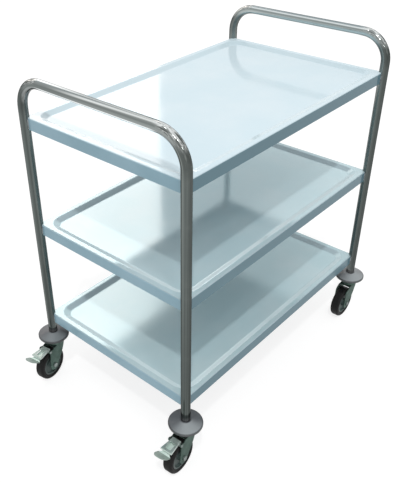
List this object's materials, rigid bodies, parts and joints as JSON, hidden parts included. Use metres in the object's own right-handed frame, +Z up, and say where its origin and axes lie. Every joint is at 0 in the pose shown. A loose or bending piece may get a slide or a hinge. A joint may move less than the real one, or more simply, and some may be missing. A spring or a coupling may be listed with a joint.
{
  "type": "serving trolley",
  "caption": "Open serving trolley: trays between bent tube hoops that form push bars, on swivel casters under round bumpers, with foot brakes at one end.",
  "frame": {"origin": "on the floor under the middle of the trolley's bounding box, with its casters trailing towards the braked end", "axes": "+X along the trolley away from the braked end, +Y to its left, +Z up"},
  "size_m": [0.996, 0.605, 0.94],
  "materials": {
    "tube": "polished stainless tube, drawn lengthwise",
    "shelf": "bright polished stainless sheet",
    "stiffener": "mill-finish stainless sheet",
    "weld": "dressed weld",
    "bumper": "grey moulded plastic, satin",
    "plug": "black moulded rubber",
    "zinc": "dull zinc plate on pressed steel",
    "bright_zinc": "bright zinc plate",
    "pedal": "dull zinc plate",
    "ball": "ground and polished",
    "fastener": "zinc plate",
    "wheel_centre": "moulded plastic",
    "tyre": "black solid rubber",
    "pad": "black rubber"
  },
  "bodies": {
    "cart_frame": {"rear_hoop": "tube", "front_hoop": "tube", "top_shelf": "shelf", "top_shelf_stiffener": "stiffener", "middle_shelf": "shelf", "middle_shelf_stiffener": "stiffener", "bottom_shelf": "shelf", "bottom_shelf_stiffener": "stiffener", "weld_beads": "weld", "stem_bolts": "fastener", "stem_nuts": "fastener", "rear_right_bumper_disc": "bumper", "rear_right_stem_plug": "plug", "rear_right_caster_head": "zinc", "rear_left_bumper_disc": "bumper", "rear_left_stem_plug": "plug", "rear_left_caster_head": "zinc", "front_right_bumper_disc": "bumper", "front_right_stem_plug": "plug", "front_right_caster_head": "zinc", "front_left_bumper_disc": "bumper", "front_left_stem_plug": "plug", "front_left_caster_head": "zinc"},
    "rear_right_swivel": {"rear_right_fork": "zinc", "rear_right_bearing_balls": "ball", "rear_right_axle_bolt": "fastener", "rear_right_axle_nut": "fastener", "rear_right_axle_bush": "fastener", "rear_right_brake_pin": "fastener"},
    "rear_right_wheel": {"rear_right_wheel_centre": "wheel_centre", "rear_right_tyre": "tyre"},
    "rear_right_brake": {"rear_right_brake_pedal": "pedal", "rear_right_brake_release_frame": "bright_zinc", "rear_right_brake_pad": "pad"},
    "rear_left_swivel": {"rear_left_fork": "zinc", "rear_left_bearing_balls": "ball", "rear_left_axle_bolt": "fastener", "rear_left_axle_nut": "fastener", "rear_left_axle_bush": "fastener", "rear_left_brake_pin": "fastener"},
    "rear_left_wheel": {"rear_left_wheel_centre": "wheel_centre", "rear_left_tyre": "tyre"},
    "rear_left_brake": {"rear_left_brake_pedal": "pedal", "rear_left_brake_release_frame": "bright_zinc", "rear_left_brake_pad": "pad"},
    "front_right_swivel": {"front_right_fork": "zinc", "front_right_bearing_balls": "ball", "front_right_axle_bolt": "fastener", "front_right_axle_nut": "fastener", "front_right_axle_bush": "fastener"},
    "front_right_wheel": {"front_right_wheel_centre": "wheel_centre", "front_right_tyre": "tyre"},
    "front_left_swivel": {"front_left_fork": "zinc", "front_left_bearing_balls": "ball", "front_left_axle_bolt": "fastener", "front_left_axle_nut": "fastener", "front_left_axle_bush": "fastener"},
    "front_left_wheel": {"front_left_wheel_centre": "wheel_centre", "front_left_tyre": "tyre"}
  },
  "joints": [
    {"name": "rear_right_swivel_turn", "type": "hinge", "parent": "cart_frame", "child": "rear_right_swivel", "pos_m": [-0.382, -0.2575, 0.115], "axis": [0, 0, 1], "continuous": true},
    {"name": "rear_right_wheel_roll", "type": "hinge", "parent": "rear_right_swivel", "child": "rear_right_wheel", "pos_m": [-0.41391, -0.25995, 0.05], "axis": [0.0767, -0.9971, 0], "continuous": true},
    {"name": "rear_right_brake_press", "type": "hinge", "parent": "rear_right_swivel", "child": "rear_right_brake", "pos_m": [-0.42487, -0.2608, 0.106], "axis": [0.0767, -0.9971, 0], "range_deg": [0, 12]},
    {"name": "rear_left_swivel_turn", "type": "hinge", "parent": "cart_frame", "child": "rear_left_swivel", "pos_m": [-0.382, 0.2575, 0.115], "axis": [0, 0, 1], "continuous": true},
    {"name": "rear_left_wheel_roll", "type": "hinge", "parent": "rear_left_swivel", "child": "rear_left_wheel", "pos_m": [-0.41355, 0.25216, 0.05], "axis": [0.1668, -0.986, 0], "continuous": true},
    {"name": "rear_left_brake_press", "type": "hinge", "parent": "rear_left_swivel", "child": "rear_left_brake", "pos_m": [-0.4244, 0.25033, 0.106], "axis": [0.1668, -0.986, 0], "range_deg": [0, 12]},
    {"name": "front_right_swivel_turn", "type": "hinge", "parent": "cart_frame", "child": "front_right_swivel", "pos_m": [0.453, -0.2575, 0.115], "axis": [0, 0, 1], "continuous": true},
    {"name": "front_right_wheel_roll", "type": "hinge", "parent": "front_right_swivel", "child": "front_right_wheel", "pos_m": [0.421, -0.258, 0.05], "axis": [0.0157, -0.9999, 0], "continuous": true},
    {"name": "front_left_swivel_turn", "type": "hinge", "parent": "cart_frame", "child": "front_left_swivel", "pos_m": [0.453, 0.2575, 0.115], "axis": [0, 0, 1], "continuous": true},
    {"name": "front_left_wheel_roll", "type": "hinge", "parent": "front_left_swivel", "child": "front_left_wheel", "pos_m": [0.42104, 0.25583, 0.05], "axis": [0.0523, -0.9986, 0], "continuous": true}
  ]
}
